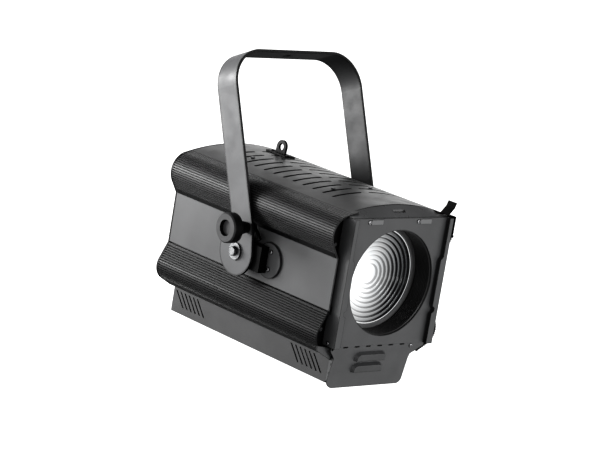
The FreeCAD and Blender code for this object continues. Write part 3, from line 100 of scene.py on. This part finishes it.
class Paint:
    """A material under construction: a shader, object coordinates and short ways to join nodes."""

    def __init__(self, name, colour, roughness, metallic=0.0):
        self.material = bpy.data.materials.new(name)
        self.material.use_nodes = True
        self.tree = self.material.node_tree
        self.shader = self.tree.nodes["Principled BSDF"]
        self.set("Metallic", metallic)
        self.set("Roughness", roughness)
        self.set("Base Color", (*colour, 1))
        self.place = self.add("TexCoord").outputs["Object"]
        self.normal = None

    def add(self, kind, inputs=(), **settings):
        return add_node(self.tree, kind, inputs, **settings)

    def set(self, socket, value):
        self.shader.inputs[socket].default_value = value

    def link(self, source, socket):
        self.tree.links.new(source, self.shader.inputs[socket])

    def stretched(self, scale):
        return self.add("Mapping", {"Vector": self.place, "Scale": scale}).outputs["Vector"]

    def noise(self, per_metre, detail=2.0, vector=None):
        return self.add("TexNoise", {"Vector": vector or self.place, "Scale": per_metre,
                                     "Detail": detail}).outputs["Fac"]

    def cells(self, per_metre):
        return self.add("TexVoronoi", {"Vector": self.place, "Scale": per_metre},
                        feature="SMOOTH_F1").outputs["Distance"]

    def along(self, axis, vector=None):
        """One coordinate of the place, or of another vector."""
        return self.add("SeparateXYZ", {"Vector": vector or self.place}).outputs[axis]

    def maths(self, operation, first, second=0.0):
        return self.add("Math", {0: first, 1: second}, operation=operation).outputs[0]

    def vectors(self, operation, first, second):
        return self.add("VectorMath", {0: first, 1: second}, operation=operation).outputs["Vector"]

    def spread(self, source, low, high, start=0.0, end=1.0):
        """Map a value from start..end to low..high and hold it there."""
        return self.add("MapRange", {"Value": source, "From Min": start, "From Max": end,
                                     "To Min": low, "To Max": high}).outputs["Result"]

    def ramp(self, source, stops):
        """Map a value through colour stops: (position, colour)."""
        node = self.add("ValToRGB", {"Fac": source})
        elements = node.color_ramp.elements
        while len(elements) < len(stops):
            elements.new(0.5)
        for element, (position, colour) in zip(elements, stops):
            element.position = position
            element.color = (*colour, 1)
        return node.outputs["Color"]

    def patchy(self, base, contrast, source, low=0.35):
        """A colour that wanders between a darker and a lighter shade of its base."""
        dark, light = shades(base, contrast)
        return self.ramp(source, [(low, dark), (1 - low, light)])

    def mix(self, share, first, second):
        return self.add("MixRGB", {"Fac": share, "Color1": first, "Color2": second}).outputs[0]

    def times(self, source, shade):
        return self.add("MixRGB", {"Fac": 1.0, "Color1": source, "Color2": shade},
                        blend_type="MULTIPLY").outputs[0]

    def near(self, reach_mm, inside=False):
        """How open a spot is: 1 in the open, lower in a corner or, seen inside, at an edge."""
        return self.add("AmbientOcclusion", {"Distance": reach_mm * MM},
                        samples=6, inside=inside).outputs["AO"]

    def crevice_shade(self, source, reach_mm, floor=0.12, clear=0.75):
        """Darken a colour in grooves, seams and corners: painted shade where little light reaches.
        """
        return self.times(source, self.spread(self.near(reach_mm), floor, 1.0, 0.25, clear))

    def edge_shade(self, source, reach_mm, floor):
        """Darken a colour along outer edges: painted shade, the dark line that an edge shows."""
        shade = self.spread(self.near(reach_mm, inside=True), floor, 1.0, 0.60, 0.95)
        return self.times(source, shade)

    def colour(self, source):
        self.link(source, "Base Color")

    def gloss(self, level):
        self.set("Specular IOR Level", level)

    def roughness(self, source, low, high):
        self.link(self.spread(source, low, high, 0.3, 0.7), "Roughness")

    def rounded(self, radius_mm):
        """Shade sharp edges as if they had a small radius. Called before any bump."""
        self.normal = self.add("Bevel", {"Radius": radius_mm * MM}, samples=4).outputs["Normal"]
        self.link(self.normal, "Normal")

    def bump(self, source, depth_mm):
        """Raise the surface by up to depth_mm, on top of any bump that is there already."""
        inputs = {"Height": source, "Distance": depth_mm * MM, "Strength": 1.0}
        if self.normal is not None:
            inputs["Normal"] = self.normal
        self.normal = self.add("Bump", inputs).outputs["Normal"]
        self.link(self.normal, "Normal")

    def orange_peel(self):
        """The skin of a powder coat: softened edges, a fine ripple and pimples."""
        self.rounded(0.5)
        self.bump(self.noise(1400.0), 0.02)
        self.bump(self.cells(520.0), 0.03)


def powder_coat(name, base, rough=0.42, gloss_level=0.5):
    """Satin powder coat: orange peel and faint handling marks, with painted shade in its seams and
    along its edges.
    """
    paint = Paint(name, base, rough)
    tone = paint.patchy(base, 0.10, paint.noise(14.0, 4.0))
    paint.colour(paint.edge_shade(paint.crevice_shade(tone, 4.0), 1.3, 0.25))
    paint.roughness(paint.noise(45.0, 3.0), rough - 0.05, rough + 0.06)
    paint.gloss(gloss_level)
    paint.orange_peel()
    return paint.material


def extrusion(name, plain, ribbed_shade, gloss_level):
    """Painted extrusion: faint die lines run along Y. The waist panel is plain, and above and
    below it the ribs are painted darker and their grooves black: painted shade."""
    paint = Paint(name, plain, 0.36)
    height = paint.along("Z")
    above = paint.spread(height, 0.0, 1.0, WAIST_TOP, WAIST_TOP + 2 * MM)
    below = paint.spread(height, 1.0, 0.0, WAIST_FOOT - 2 * MM, WAIST_FOOT)
    ribs = paint.maths("MAXIMUM", above, below)
    patches = paint.noise(10.0, 4.0)
    # painted shade: the bands of ribs are painted darker than the waist panel, and their grooves
    # black
    tone = paint.mix(ribs, paint.patchy(plain, 0.09, patches), paint.patchy(ribbed_shade, 0.09, patches))
    paint.colour(paint.edge_shade(paint.crevice_shade(tone, 3.0, 0.0, 1.0), 0.8, 0.6))
    lines = paint.noise(1.0, 3.0, paint.stretched((900.0, 3.0, 900.0)))
    worn = paint.maths("ADD", paint.maths("MULTIPLY", lines, ribs), paint.spread(ribs, 0.0, 0.12))
    paint.roughness(worn, 0.30, 0.52)
    paint.gloss(gloss_level)
    paint.rounded(0.35)
    paint.bump(lines, 0.008)
    paint.bump(paint.noise(1500.0), 0.012)
    return paint.material


def plate_coat(name, base, tab_grey):
    """The front plate's coat, painted a lighter grey on the two small tabs beside its top screws.
    """
    paint = Paint(name, base, 0.42)
    across, height = paint.along("X"), paint.along("Z")
    over_foot = paint.spread(height, 0.0, 1.0, TAB_FOOT - TAB_BLUR, TAB_FOOT + TAB_BLUR)
    under_top = paint.spread(height, 1.0, 0.0, TAB_TOP - TAB_BLUR, TAB_TOP + TAB_BLUR)
    near_tab = []
    for middle in TAB_MIDDLES:
        off = paint.maths("ABSOLUTE", paint.maths("SUBTRACT", across, middle))
        near_tab.append(paint.spread(off, 1.0, 0.0, TAB_HALF - TAB_BLUR, TAB_HALF + TAB_BLUR))
    lighter_patch = paint.maths("MULTIPLY", paint.maths("MULTIPLY", over_foot, under_top),
                         paint.maths("MAXIMUM", *near_tab))
    tone = paint.patchy(base, 0.10, paint.noise(14.0, 4.0))
    tone = paint.mix(lighter_patch, tone, (*tab_grey, 1))
    paint.colour(paint.edge_shade(paint.crevice_shade(tone, 4.0), 1.3, 0.15))
    paint.roughness(paint.noise(45.0, 3.0), 0.37, 0.48)
    paint.orange_peel()
    return paint.material


def yoke_coat(name, outside, inside):
    """The yoke's coat, with painted shade: faces that look inwards are painted darker than faces
    that look outwards, and its edges almost black.
    """
    paint = Paint(name, outside, 0.5)
    facing_x = paint.along("X", paint.add("NewGeometry").outputs["Normal"])
    outward = paint.maths("MULTIPLY", paint.along("X"), facing_x)
    full = paint.spread(outward, 0.0, 1.0, -0.01, 0.01)
    patches = paint.noise(14.0, 4.0)
    # painted shade: faces that look inwards take the darker inside colour
    tone = paint.mix(full, paint.patchy(inside, 0.10, patches),
                     paint.patchy(outside, 0.10, patches))
    paint.colour(paint.edge_shade(paint.crevice_shade(tone, 3.0), 3.8, 0.02))
    paint.gloss(0.35)
    paint.roughness(paint.noise(45.0, 3.0), 0.45, 0.58)
    paint.orange_peel()
    return paint.material


def bracket_coat(name, disc, block):
    """The bracket's disc wears the panel's grey, and the block and quadrant are painted black:
    painted shadow of the yoke arm.
    """
    paint = Paint(name, disc, 0.45)
    # painted shadow: everything beyond the disc's face is painted black
    outer = paint.spread(paint.maths("ABSOLUTE", paint.along("X")), 0.0, 1.0,
                         DISC_FACE, DISC_FACE + 0.5 * MM)
    patches = paint.noise(14.0, 4.0)
    tone = paint.mix(outer, paint.patchy(disc, 0.10, patches), paint.patchy(block, 0.10, patches))
    paint.colour(paint.edge_shade(paint.crevice_shade(tone, 6.0), 1.5, 0.1))
    paint.gloss(0.06)
    paint.roughness(paint.noise(45.0, 3.0), 0.42, 0.55)
    paint.rounded(0.5)
    paint.bump(paint.noise(1400.0), 0.02)
    return paint.material


def knob_plastic(name, face, side):
    """Moulded knob with painted light: its front faces that look towards -X are painted grey, a
    painted highlight, and its rim and stem are black.
    """
    paint = Paint(name, face, 0.5)
    # painted highlight: front faces that look towards -X take the lighter face grey
    front = paint.spread(paint.along("X"), 1.0, 0.0, KNOB_FACE + KNOB_LIT_DEPTH - 0.3 * MM,
                         KNOB_FACE + KNOB_LIT_DEPTH + 0.3 * MM)
    facing_x = paint.along("X", paint.add("NewGeometry").outputs["Normal"])
    lighter_patch = paint.maths("MULTIPLY", front, paint.spread(facing_x, 1.0, 0.0, -0.8, -0.3))
    patches = paint.noise(40.0, 4.0)
    paint.colour(paint.mix(lighter_patch, paint.patchy(side, 0.12, patches),
                           paint.patchy(face, 0.12, patches)))
    paint.gloss(0.25)
    paint.roughness(paint.noise(90.0, 3.0), 0.42, 0.55)
    paint.bump(paint.cells(1300.0), 0.05)
    return paint.material


def plated(name, base, rough):
    """Plated steel: turning marks and patches of passivation, with painted shade in its seams and
    along its edges.
    """
    paint = Paint(name, base, rough, metallic=1.0)
    tone = paint.patchy(base, 0.18, paint.noise(160.0, 5.0), 0.3)
    paint.colour(paint.edge_shade(paint.crevice_shade(tone, 2.5, 0.05, 0.95), 1.0, 0.15))
    marks = paint.noise(1.0, 3.0, paint.stretched((500.0, 2600.0, 500.0)))
    paint.roughness(marks, rough - 0.08, rough + 0.14)
    paint.bump(marks, 0.01)
    return paint.material


def machined(name, base, rough=0.3):
    """Bare milled or ground metal."""
    paint = Paint(name, base, rough, metallic=1.0)
    lines = paint.noise(1.0, 2.0, paint.stretched((40.0, 1800.0, 1800.0)))
    paint.colour(paint.patchy(base, 0.08, lines, 0.3))
    paint.roughness(lines, rough - 0.08, rough + 0.12)
    paint.bump(lines, 0.01)
    return paint.material


def moulded(name, base, rough=0.5, texture_mm=0.05):
    """Moulded plastic with a fine spark-eroded texture."""
    paint = Paint(name, base, rough)
    paint.colour(paint.patchy(base, 0.12, paint.noise(30.0, 4.0)))
    paint.roughness(paint.noise(90.0, 3.0), rough - 0.06, rough + 0.08)
    paint.bump(paint.cells(1300.0), texture_mm)
    return paint.material


def rubbery(name, base):
    return moulded(name, base, 0.72, 0.08)


def lens_glass(name, base, strength, power, start, end):
    """Pressed glass with a painted glow: an emission that stands in for light seen in the lens. It
    is full up to start from the glow's middle and gone at end; a higher power makes it fade
    sooner."""
    paint = Paint(name, base, 0.12)
    offset = paint.vectors("SUBTRACT", paint.place, PAINTED_GLOW_SPOT)
    offset = paint.vectors("MULTIPLY", offset, PAINTED_GLOW_SHAPE)
    far = paint.add("VectorMath", {0: offset}, operation="LENGTH").outputs["Value"]
    glow = paint.maths("POWER", paint.spread(far, 1.0, 0.02, start, end), power)
    tint = paint.ramp(paint.noise(40.0, 3.0), [(0.3, (0.93, 0.95, 0.96)), (0.7, (1, 1, 1))])
    paint.link(paint.times(glow, tint), "Emission Color")
    paint.set("Emission Strength", strength)
    paint.colour(paint.patchy(base, 0.2, paint.noise(30.0, 3.0), 0.3))
    paint.set("IOR", 1.52)
    paint.roughness(paint.noise(60.0, 3.0), 0.08, 0.2)
    paint.bump(paint.noise(420.0), 0.01)
    return paint.material


def emitter(name):
    """Ceramic carrier, with the yellow phosphor of the emitter in its middle."""
    paint = Paint(name, (0.85, 0.82, 0.6), 0.5)
    paint.colour(paint.ramp(paint.cells(900.0), [(0.0, (0.72, 0.62, 0.22)),
                                                 (1.0, (0.93, 0.88, 0.62))]))
    paint.bump(paint.noise(800.0), 0.03)
    return paint.material


def circuit(name):
    """Solder resist with copper tracks that show through it."""
    paint = Paint(name, (0.03, 0.16, 0.07), 0.35)
    tracks = paint.add("TexBrick", {"Vector": paint.stretched((300.0, 300.0, 300.0)),
                                    "Mortar Size": 0.04}).outputs["Fac"]
    paint.colour(paint.ramp(tracks, [(0.3, (0.02, 0.13, 0.05)), (0.7, (0.05, 0.24, 0.10))]))
    paint.bump(tracks, 0.03)
    return paint.material


# one material for each slot of the record
MATERIALS = {
    "black_extrusion": extrusion("extrusion_black", (0.125, 0.126, 0.128),
                                 (0.036, 0.036, 0.037), 0.36),
    "black_sheet": powder_coat("sheet_black", (0.075, 0.076, 0.078)),
    "yoke_paint": powder_coat("yoke_plain", (0.118, 0.119, 0.122), 0.5),
    "lug_paint": powder_coat("lug_black", (0.004, 0.004, 0.0042), 0.55, 0.15),
    "zinc": plated("zinc_plate", (0.24, 0.243, 0.247), 0.30),
    "black_screw": plated("black_oxide", (0.16, 0.16, 0.165), 0.36),
    "latch_spring": powder_coat("spring_black", (0.004, 0.004, 0.0042), 0.6, 0.1),
    "label_black": moulded("film_black", (0.006, 0.006, 0.0065), 0.3, 0.01),
    "black_plastic": moulded("plastic_black", (0.035, 0.035, 0.036)),
    "lens_glass": lens_glass("glass_ring", (0.13, 0.135, 0.14), 1.08, 1.6, 0.010, 0.092),
    "rubber": rubbery("rubber_black", (0.02, 0.02, 0.021)),
    "aluminium_bare": machined("aluminium_milled", (0.78, 0.79, 0.80)),
    "steel_bright": machined("steel_ground", (0.70, 0.71, 0.72), 0.22),
    "bronze": machined("bronze_sintered", (0.62, 0.44, 0.24), 0.42),
    "friction_pad": rubbery("friction_lining", (0.13, 0.11, 0.095)),
    "led_emitter": emitter("led_phosphor"),
    "driver_case": powder_coat("driver_grey", (0.30, 0.31, 0.32), 0.5),
    "circuit_board": circuit("board_green"),
    "display_window": moulded("display_dark", (0.012, 0.014, 0.018), 0.16, 0.0),
    "button_rubber": rubbery("button_silicone", (0.12, 0.12, 0.125)),
    "socket_body": moulded("nylon_black", (0.045, 0.045, 0.047), 0.45),
}

# parts with their own material apart from the rest of their slot; the tray and the cover are
# painted darker, painted shade, and the hood lighter, painted light
BRACKET_GREY = bracket_coat("bracket_disc_and_shadow", (0.12, 0.121, 0.123), (0.004, 0.004, 0.0042))
RAIL_BLACK = extrusion("rail_black", (0.012, 0.012, 0.0125), (0.012, 0.012, 0.0125), 0.18)
OWN_MATERIALS = {
    "bottom_tray": powder_coat("tray_shaded", (0.038, 0.038, 0.039)),
    "top_cover": powder_coat("cover_shaded", (0.032, 0.0325, 0.033), 0.34),
    "front_hood": powder_coat("hood_lit", (0.135, 0.136, 0.138), 0.30),
    "glare_baffle": powder_coat("baffle_black", (0.045, 0.045, 0.046), 0.36),
    "lens_tube": moulded("tube_black", (0.170, 0.171, 0.173), 0.45, 0.02),
    "front_plate": plate_coat("plate_grey", (0.078, 0.079, 0.081), (0.17, 0.172, 0.175)),
    "lower_rail_left": RAIL_BLACK,
    "lower_rail_right": RAIL_BLACK,
    "yoke": yoke_coat("yoke_grey", (0.118, 0.119, 0.122), (0.036, 0.0364, 0.0375)),
    "lock_knob": knob_plastic("knob_grey", (0.070, 0.070, 0.072), (0.008, 0.008, 0.0082)),
    "yoke_bracket_left": BRACKET_GREY,
    "yoke_bracket_right": BRACKET_GREY,
}
# painted shade on the dark risers, and a painted highlight on the bright lip round the rim
RISER_GLASS = lens_glass("glass_riser", (0.006, 0.006, 0.007), 0.98, 1.5, 0.004, 0.074)
LIP_GLASS = lens_glass("glass_lip", (0.30, 0.305, 0.31), 0.62, 1.0, 0.020, 0.300)
SCREW_STEEL = machined("screw_steel", (0.42, 0.42, 0.43), 0.38)
SOCKET_BLACK = moulded("socket_shadow", (0.006, 0.006, 0.006), 0.6, 0.01)

for name, node in nodes.items():
    node.data.materials.clear()
    node.data.materials.append(OWN_MATERIALS.get(name) or MATERIALS[SLOT[name]])

# ---------------------------------------------------------------- visible pieces


def lathe(work, rows, place, steps):
    """Turn a profile about the Z axis of a placing matrix. A row is (radius, height, material
    number), and its material covers the band up to the next row."""
    loops = []
    for radius, height, _ in rows:
        loop = []
        for i in range(steps if radius > 0 else 1):
            angle = 2 * math.pi * i / steps
            spot = Vector((radius * math.cos(angle), radius * math.sin(angle), height))
            loop.append(work.verts.new(place @ spot))
        loops.append(loop)
    for here, beyond, row in zip(loops, loops[1:], rows):
        for i in range(steps):
            corners = [here[i % len(here)], here[(i + 1) % len(here)],
                       beyond[(i + 1) % len(beyond)], beyond[i % len(beyond)]]
            corners = [c for k, c in enumerate(corners) if c not in corners[:k]]
            face = work.faces.new(corners)
            face.material_index = row[2]
            face.smooth = True


def stand_in(name, work, node, materials, sharp):
    """Turn a bmesh into a piece that takes the place of a CAD node. Its edges are sharp where
    it turns by more than an angle in degrees."""
    bmesh.ops.recalc_face_normals(work, faces=work.faces)
    for edge in work.edges:
        edge.smooth = edge.calc_face_angle(math.pi) < math.radians(sharp)
    mesh = bpy.data.meshes.new(name)
    work.to_mesh(mesh)
    work.free()
    for material in materials:
        mesh.materials.append(material)
    thing = bpy.data.objects.new(name, mesh)
    bpy.context.scene.collection.objects.link(thing)
    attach(thing, BODY[node])
    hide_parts(node)


def facing(centre, direction):
    """A matrix that stands a turned piece at a centre with its Z axis along a direction."""
    turn = Vector(direction).to_track_quat("Z", "Y").to_matrix().to_4x4()
    return Matrix.Translation(centre) @ turn


RING_COUNT = 8
BOSS_RADIUS = 15 * MM                 # the smooth middle of the lens
DISH = 12 * MM                        # how far the lens's middle lies behind its rim
RISER = 3 * MM                        # how far a ring steps back on its inner side
RING_CURVE = ((0.24, 0.2 * MM), (0.40, 0.0), (0.70, 0.9 * MM))    # share of a ring, setback


def ringed_lens():
    """The glass: a smooth boss and broad rings that sink towards it, with a riser inside each ring
    painted dark, painted shade, and a lip round the rim painted bright, a painted highlight. The
    back bulges behind the dish."""
    glass, riser, lip = range(3)
    rim, face, back = LENS_RADIUS - 1.6 * MM, LENS_LOW[1] + 0.6 * MM, LENS_HIGH[1] - 0.2 * MM
    pitch = (rim - 2.6 * MM - BOSS_RADIUS) / RING_COUNT

    def crest(radius):
        return face + (1 - radius / rim) * DISH

    rows = [(0.0, face + DISH + 0.6 * MM, glass),
            (0.55 * BOSS_RADIUS, crest(BOSS_RADIUS) + RISER - 0.6 * MM, glass)]
    for i in range(RING_COUNT + 1):
        radius = BOSS_RADIUS + i * pitch
        rows.append((radius - 0.6 * MM, crest(radius) + RISER, riser))
        if i < RING_COUNT:
            rows += [(radius + share * pitch, crest(radius) + setback, glass)
                     for share, setback in RING_CURVE]
    rows += [(rim - 1.6 * MM, face - 0.4 * MM, lip), (rim, face - 0.1 * MM, riser),
             (rim, back, riser), (0.0, back + 9 * MM, riser)]
    work = bmesh.new()
    lathe(work, rows, facing((0, 0, LENS_Z), (0, 1, 0)), 192)
    stand_in("lens_rings", work, "fresnel_lens",
             (MATERIALS["lens_glass"], RISER_GLASS, LIP_GLASS), 50)


SOCKET_DEPTH = 1.2 * MM
SOCKET_FLOOR = 0.40                   # radius of the socket's floor, as a share of the head's
SHANK = 0.48                          # radius of the shank, as a share of the head's
STEEL, SHADOW = range(2)
HEAD_CURVE = (
    # share of the head's radius, share of its height, material
    (0.44, 1.00, STEEL), (0.70, 0.93, STEEL), (0.88, 0.62, SHADOW), (0.99, 0.25, SHADOW),
)


def solids_of(node):
    """The points of each separate solid of a CAD node."""
    work = bmesh.new()
    work.from_mesh(nodes[node].data)
    bmesh.ops.remove_doubles(work, verts=work.verts, dist=0.001 * MM)
    seen, solids = set(), []
    for start in work.verts:
        if start in seen:
            continue
        seen.add(start)
        solid = [start]
        for vert in solid:            # the list grows while it is walked
            for edge in vert.link_edges:
                other = edge.other_vert(vert)
                if other not in seen:
                    seen.add(other)
                    solid.append(other)
        solids.append([vert.co.copy() for vert in solid])
    work.free()
    return solids


def seat_of(points, direction, height):
    """The middle of the underside of a screw's head, from the points of its CAD solid."""
    flat = [point - direction * point.dot(direction) for point in points]
    low, high = ([pick(point[k] for point in flat) for k in range(3)] for pick in (min, max))
    middle = (Vector(low) + Vector(high)) / 2
    top = max(point.dot(direction) for point in points)
    return middle + direction * (top - height - middle.dot(direction))


def screw_heads(name, node, way_of, head_radius, height, shank_length):
    """Pan-head screws with a socket, in place of plain ones of the same size."""
    tip = 0.1 * MM - shank_length
    rows = [(0.0, height - SOCKET_DEPTH, SHADOW),
            (SOCKET_FLOOR * head_radius, height - SOCKET_DEPTH, SHADOW)]
    rows += [(out * head_radius, up * height, material) for out, up, material in HEAD_CURVE]
    rows += [(0.99 * head_radius, 0.03 * MM, SHADOW), (SHANK * head_radius, 0.02 * MM, SHADOW),
             (SHANK * head_radius, tip, SHADOW), (0.0, tip, SHADOW)]
    work = bmesh.new()
    for points in solids_of(node):
        direction = Vector(way_of(sum(points, Vector()) / len(points)))
        lathe(work, rows, facing(seat_of(points, direction, height), direction), 32)
    stand_in(name, work, node, (SCREW_STEEL, SOCKET_BLACK), 40)


def sideways(spot):
    return (math.copysign(1, spot.x), 0, 0)


def plate_screw_way(spot):
    """Which way a front plate screw faces: sideways, forwards, or square to the apron."""
    if abs(spot.x) > 90 * MM:
        return sideways(spot)
    if spot.z > 240 * MM:
        return (0, -1, 0)
    return (0, -math.cos(APRON_LEAN), -math.sin(APRON_LEAN))


ringed_lens()
screw_heads("bracket_screw_heads", "bracket_screws", sideways, 3.6 * MM, 2.2 * MM, 6.0 * MM)
screw_heads("plate_screw_heads", "front_plate_screws", plate_screw_way,
            3.2 * MM, 1.6 * MM, 3.0 * MM)

# ---------------------------------------------------------------- stage, light and camera

ROOM = 0.10                           # brightness of the room between the panels
PANELS = (
    # soft bright panels round the table: direction, cosine where full, cosine where gone, glow
    ((-0.665, 0.718, -0.10), 0.93, 0.62, 1.0),
    ((0.665, 0.718, 0.15), 0.97, 0.86, 0.9),
    ((0.66, -0.72, -0.25), 0.93, 0.60, 0.95),
    ((-1.0, -0.15, -0.05), 0.95, 0.60, 0.30),
)
LAMPS = (
    # name, place, aim, size, watts
    ("side", (-1.0, 2.0, 0.36), (0, 0.2, 0.16), (0.7, 0.7), 46),
    ("low", (-2.2, -1.4, 0.25), (0, 0.1, 0.12), (1.0, 0.5), 8),
    ("front", (0.5, -2.6, 0.7), (0, 0.0, 0.15), (0.9, 0.6), 26),
    ("top", (0.10, 0.70, 1.15), (0, 0.30, 0.27), (0.35, 0.35), 3.2),
)
FLOOR_REACH = 40.0
FLOOR_GLOW = 0.93
CAMERA_PLACE = (-2.59964, -2.60069, 1.0036)
CAMERA_LOOK = (0.66480, 0.71798, -0.20624)
CAMERA_UP = (0.01588, 0.26244, 0.96482)
FOCAL_LENGTH, SENSOR_WIDTH = 149.9, 36.0      # of the camera, in millimetres


def studio():
    """A dim room with soft bright panels round the table. Seen directly, it is one pale
    backdrop."""
    world = bpy.data.worlds.new("studio")
    bpy.context.scene.world = world
    world.use_nodes = True
    tree = world.node_tree
    way = add_node(tree, "TexCoord").outputs["Generated"]
    light = ROOM
    for direction, full, gone, glow in PANELS:
        cosine = add_node(tree, "VectorMath", {0: way, 1: Vector(direction).normalized()},
                          operation="DOT_PRODUCT").outputs["Value"]
        panel = add_node(tree, "MapRange", {"Value": cosine, "From Min": gone, "From Max": full,
                                            "To Min": 0.0, "To Max": glow},
                         interpolation_type="SMOOTHSTEP").outputs["Result"]
        light = add_node(tree, "Math", {0: panel, 1: light}, operation="ADD").outputs[0]
    seen = add_node(tree, "LightPath").outputs["Is Camera Ray"]
    either = add_node(tree, "Math", {0: seen, 1: light}, operation="MAXIMUM").outputs[0]
    tree.links.new(either, tree.nodes["Background"].inputs["Color"])


def soft_box(name, place, aim, size, watts):
    lamp = bpy.data.lights.new(name, "AREA")
    lamp.shape = "RECTANGLE"
    lamp.size, lamp.size_y = size
    lamp.energy = watts
    thing = bpy.data.objects.new(name, lamp)
    bpy.context.scene.collection.objects.link(thing)
    thing.location = place
    thing.rotation_euler = (Vector(aim) - Vector(place)).to_track_quat("-Z", "Y").to_euler()


def floor():
    """A pale floor that glows like a lit table and leaves the object's own light alone."""
    mesh = bpy.data.meshes.new("floor")
    signs = ((-1, -1), (1, -1), (1, 1), (-1, 1))
    corners = [(x * FLOOR_REACH, y * FLOOR_REACH, 0) for x, y in signs]
    mesh.from_pydata(corners, [], [(0, 1, 2, 3)])
    thing = bpy.data.objects.new("floor", mesh)
    bpy.context.scene.collection.objects.link(thing)
    paint = Paint("floor_pale", (0.30, 0.30, 0.30), 0.9)
    paint.colour(paint.ramp(paint.noise(1.5), [(0.3, (0.29, 0.29, 0.29)),
                                               (0.7, (0.31, 0.31, 0.31))]))
    paint.gloss(0.0)
    paint.set("Emission Color", (1, 1, 1, 1))
    paint.set("Emission Strength", FLOOR_GLOW)
    mesh.materials.append(paint.material)
    thing.visible_diffuse = thing.visible_glossy = False


def camera():
    """The lens is long and the camera is rolled a little, as a lamp is often pictured."""
    data = bpy.data.cameras.new("camera")
    data.sensor_width = SENSOR_WIDTH
    data.lens = FOCAL_LENGTH
    thing = bpy.data.objects.new("camera", data)
    bpy.context.scene.collection.objects.link(thing)
    forward = Vector(CAMERA_LOOK).normalized()
    right = forward.cross(Vector(CAMERA_UP)).normalized()
    up = right.cross(forward)
    turn = Matrix((right, up, -forward)).transposed().to_4x4()
    thing.matrix_world = Matrix.Translation(CAMERA_PLACE) @ turn
    bpy.context.scene.camera = thing


studio()
floor()
camera()
for name, place, aim, size, watts in LAMPS:
    soft_box(name, place, aim, size, watts)
bpy.context.scene.view_settings.view_transform = "Standard"
bpy.context.scene.view_settings.look = "High Contrast"
